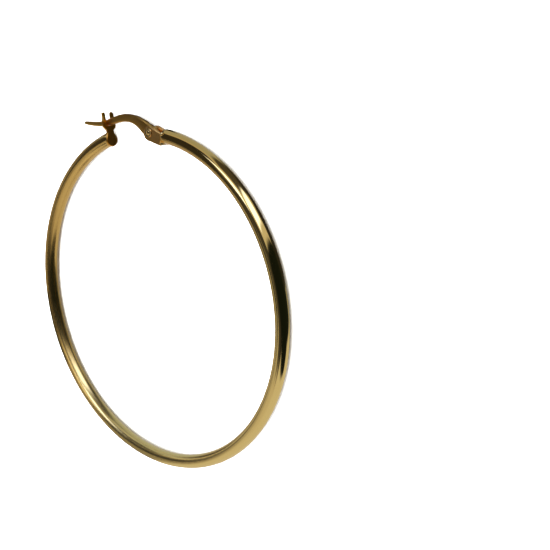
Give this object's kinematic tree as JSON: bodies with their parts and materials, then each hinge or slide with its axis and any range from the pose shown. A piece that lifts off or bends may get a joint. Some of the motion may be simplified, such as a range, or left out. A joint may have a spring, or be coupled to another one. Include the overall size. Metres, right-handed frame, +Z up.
{
  "type": "hoop earring",
  "caption": "Hinged hoop earring: a round hollow tube bent to a circle, with a forked catch and an arched ear wire that swings on a rivet.",
  "frame": {"origin": "middle of the bottom of the whole part's box as it lies on its side, about 1.1 mm from the hoop's own centre towards the ear wire", "axes": "+Z up, square to the hoop's plane; +Y in the hoop's plane towards the gap and the ear wire; +X towards the hinge"},
  "size_m": [0.05, 0.0522, 0.0023],
  "materials": {
    "hoop_gold": "mirror polished pale yellow gold tube with soldered fittings",
    "wire_gold": "tumble polished pale yellow gold wire, slightly warmer",
    "rivet_gold": "peened and polished pale yellow gold rivet"
  },
  "bodies": {
    "hoop_body": {"hoop": "hoop_gold", "hinge_rivet": "rivet_gold"},
    "wire_body": {"ear_wire": "wire_gold"}
  },
  "joints": [
    {"name": "ear_wire_hinge", "type": "hinge", "parent": "hoop_body", "child": "wire_body", "pos_m": [0.00349, 0.02266, 0.00114], "axis": [0, 0, -1], "range_deg": [0, 80]}
  ]
}
